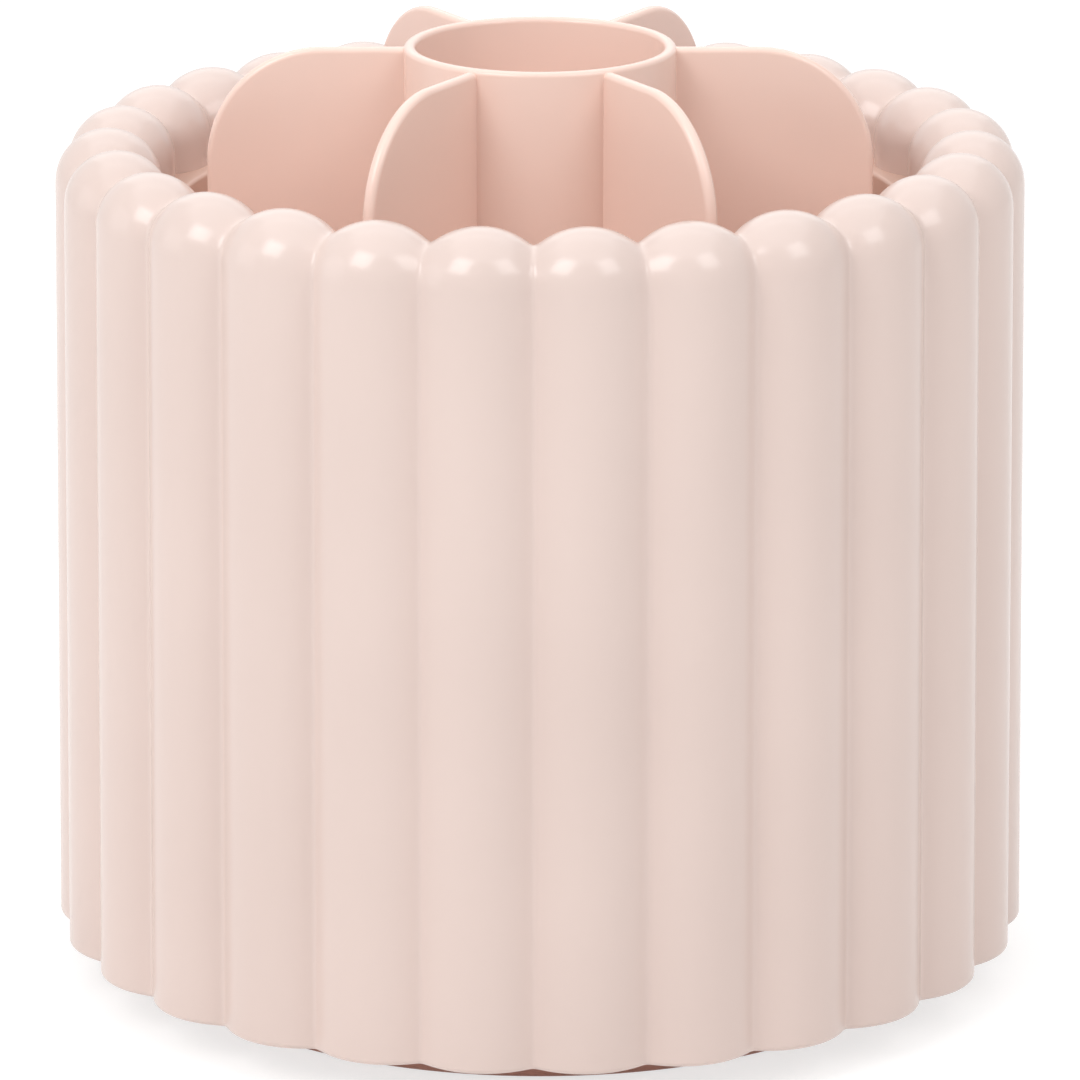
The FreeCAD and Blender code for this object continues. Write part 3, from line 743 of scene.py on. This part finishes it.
fin = wire([(FIN_ROOT, FIN_FOOT), (FIN_REACH, FIN_FOOT), (FIN_REACH, FIN_TOP), (FIN_ROOT, FIN_TOP)])
bmesh.ops.contextual_create(fin, geom=fin.edges[:])
top_corner = max(fin.verts, key=lambda v: v.co.x + v.co.z)
ease(fin, [top_corner], FIN_CORNER, "VERTICES", CORNER_SEGMENTS)
grown = bmesh.ops.extrude_face_region(fin, geom=fin.faces[:])["geom"]
far_side = [item for item in grown if isinstance(item, bmesh.types.BMVert)]
bmesh.ops.translate(fin, vec=(0, FIN_THICK * MM, 0), verts=far_side)
bmesh.ops.translate(fin, vec=(0, -FIN_THICK / 2 * MM, 0), verts=fin.verts[:])
bmesh.ops.recalc_face_normals(fin, faces=fin.faces[:])
print("fin:", len(fin.faces), "faces")

# %% Ease its edges and set six around
FINS = 6
FIN_EDGE = 0.8
EDGE_SEGMENTS = 6


def is_free_edge(edge):
    """Whether an edge runs along a side of the fin, off its root and its lower end."""
    a, b = (v.co for v in edge.verts)
    along_side = abs(a.y - b.y) < SLACK * MM
    at_root = max(a.x, b.x) < (FIN_ROOT + SLACK) * MM
    at_foot = max(a.z, b.z) < (FIN_FOOT + SLACK) * MM
    return along_side and not at_root and not at_foot


ease(fin, [edge for edge in fin.edges if is_free_edge(edge)], FIN_EDGE, "EDGES", EDGE_SEGMENTS)
spin(fin, FINS - 1, FULL_TURN * (FINS - 1) / FINS, copies=True)
merge_solid(divider, make_object("fins", fin), "UNION")

# %% Cut the slots for the keys
CUT_PAST = 1.0

slots = block(
    (TUBE_BORE - CUT_PAST, -KEY_WIDTH / 2 - KEY_GAP, FLOOR_TOP - CUT_PAST),
    (TUBE_RADIUS + CUT_PAST, KEY_WIDTH / 2 + KEY_GAP, FLOOR_TOP + STEP_HEIGHT + KEY_GAP),
    both_keys,
)
merge_solid(divider, make_object("slots", slots), "DIFFERENCE")
hand_over(divider, "divider", "divider_plastic", "divider")

# %% [markdown]
# ## The parts below
# The foot, the plate, the bearing, the screws and the pads have the right shape already. Their meshes are
# loose triangles, which would show as facets, so each is copied, its doubles are merged, and the copy is
# shaded smooth between its real creases.

# %% Choose their materials
lower_parts = {
    # The foot's colour carries painted shade.
    "base_plate": foot_abs_painted_shade,
    "turntable_plate": pot_abs,
    "cover_screws": zinc_steel,
    "pivot_screw": zinc_steel,
    "pivot_washer": nylon,
    "ball_cage": nylon,
}
for node in sorted(frame["nodes"]):
    if node.startswith("foot_pad"):
        lower_parts[node] = rubber
    elif node not in lower_parts and node.startswith("ball_"):
        lower_parts[node] = bearing_steel
print("parts below:", len(lower_parts))

# %% Smooth the small parts
COPY_WELD = 0.0005


def smooth_copy(node, material):
    """A merged, smoothly shaded copy of a node's mesh, in its place."""
    bm = bmesh.new()
    bm.from_mesh(frame["nodes"][node].data)
    bmesh.ops.remove_doubles(bm, verts=bm.verts[:], dist=COPY_WELD * MM)
    return make_object(f"{node}_surface", bm, material)


slot_of = {part["node"]: part["material_slot"] for part in frame["record"]["subparts"]}
body_of = {node: body for body, nodes in frame["record"]["behaviour"]["bodies"].items() for node in nodes}
for node, material in lower_parts.items():
    hand_over(smooth_copy(node, material), body_of[node], slot_of[node], node)

# %% [markdown]
# ## Floor, backdrop and light
# The photograph is a catalogue picture on pure white. White that came from strong lamps would wash out the
# pale plastic, so room and floor are white only to the rays that see them: those from the camera, and
# those that meet them in gloss or through glass. To all other rays the room is under half as bright, and
# it fills the shade softly.

# %% Tell which rays see
def seen_by_eye(tree):
    """One for rays that show the background itself or its image in gloss or glass, else zero."""
    path = add_node(tree, "ShaderNodeLightPath")
    gloss = add_node(
        tree,
        "ShaderNodeMath",
        {"operation": "MAXIMUM"},
        {0: path.outputs["Is Glossy Ray"], 1: path.outputs["Is Transmission Ray"]},
    )
    shown = add_node(
        tree,
        "ShaderNodeMath",
        {"operation": "MAXIMUM"},
        {0: path.outputs["Is Camera Ray"], 1: gloss.outputs[0]},
    )
    return shown.outputs[0]


# %% White room
ROOM_LIGHT = 0.44

world = bpy.data.worlds.new("white room")
bpy.context.scene.world = world
world.use_nodes = True
tree = world.node_tree
tree.nodes.clear()
felt = add_node(tree, "ShaderNodeBackground", {"Color": WHITE, "Strength": ROOM_LIGHT})
seen = add_node(tree, "ShaderNodeBackground", {"Color": WHITE, "Strength": 1.0})
mix = add_node(
    tree, "ShaderNodeMixShader", {}, {"Fac": seen_by_eye(tree), 1: felt.outputs[0], 2: seen.outputs[0]}
)
add_node(tree, "ShaderNodeOutputWorld", {}, {"Surface": mix.outputs[0]})
print("room light:", ROOM_LIGHT)

# %% [markdown]
# To the pot, the floor is a matt pale sheet that throws light back up at it. To the eye it glows by more
# than half and is matt for the rest, so it comes out near white and still keeps the pot's soft shadow. It
# lies a twentieth of a millimetre under the pads, because two surfaces in one place would flicker.

# %% Pale floor
FLOOR_SIZE = 6.0
FLOOR_LEVEL = -0.05 * MM
FLOOR_GLOW = 0.7

floor_bm = bmesh.new()
under_pads = Matrix.Translation((0, 0, FLOOR_LEVEL))
bmesh.ops.create_grid(floor_bm, x_segments=1, y_segments=1, size=FLOOR_SIZE / 2, matrix=under_pads)
floor_paint, tree = new_material("pale floor")
felt = add_node(tree, "ShaderNodeBsdfDiffuse", {"Color": linear("#FBFAF9")})
glow = add_node(tree, "ShaderNodeEmission", {"Color": WHITE, "Strength": FLOOR_GLOW})
half_matt = add_node(tree, "ShaderNodeBsdfDiffuse", {"Color": linear("#AEACAB")})
seen = add_node(tree, "ShaderNodeAddShader", {}, {0: glow.outputs[0], 1: half_matt.outputs[0]})
mix = add_node(
    tree, "ShaderNodeMixShader", {}, {"Fac": seen_by_eye(tree), 1: felt.outputs[0], 2: seen.outputs[0]}
)
add_node(tree, "ShaderNodeOutputMaterial", {}, {"Surface": mix.outputs[0]})
floor = make_object("floor", floor_bm, floor_paint)
print("floor:", FLOOR_SIZE, "m across")

# %% [markdown]
# Two soft boxes put the two bright spots on every dome: the key, 44 degrees to the left of the camera, and
# a weaker fill, 45 degrees to the right, both 43 degrees up. Where the spots sit on the domes gave away
# where the lamps stood. A wide box overhead lights the floor and the tops, a weak one far on the left
# lights the shaded flutes, and one behind lights the far rim.

# %% Soft boxes
LAMP_AIM = Vector((0, 0, 0.07))


def soft_box(name, bearing, rise, distance, side, watts):
    """A square lamp aimed at the pot; bearing is in degrees from the camera, positive to the right."""
    lamp = bpy.data.lights.new(name, "AREA")
    lamp.shape = "SQUARE"
    lamp.size = side
    lamp.energy = watts
    box = bpy.data.objects.new(name, lamp)
    turn, lift = math.radians(bearing), math.radians(rise)
    way = Vector((math.sin(turn) * math.cos(lift), -math.cos(turn) * math.cos(lift), math.sin(lift)))
    box.location = LAMP_AIM + way * distance
    box.rotation_euler = way.to_track_quat("Z", "Y").to_euler()
    bpy.context.scene.collection.objects.link(box)
    print(f"{name}: {watts} W, {side} m wide, {distance} m away")


soft_box("key box", bearing=-44.0, rise=42.7, distance=1.5, side=0.75, watts=8.0)
soft_box("fill box", bearing=45.0, rise=42.5, distance=1.5, side=0.70, watts=4.4)
soft_box("top box", bearing=0.0, rise=89.0, distance=1.6, side=2.20, watts=11.4)
soft_box("side box", bearing=-85.0, rise=12.0, distance=1.5, side=1.00, watts=2.3)
soft_box("back box", bearing=180.0, rise=40.0, distance=1.8, side=1.60, watts=5.0)
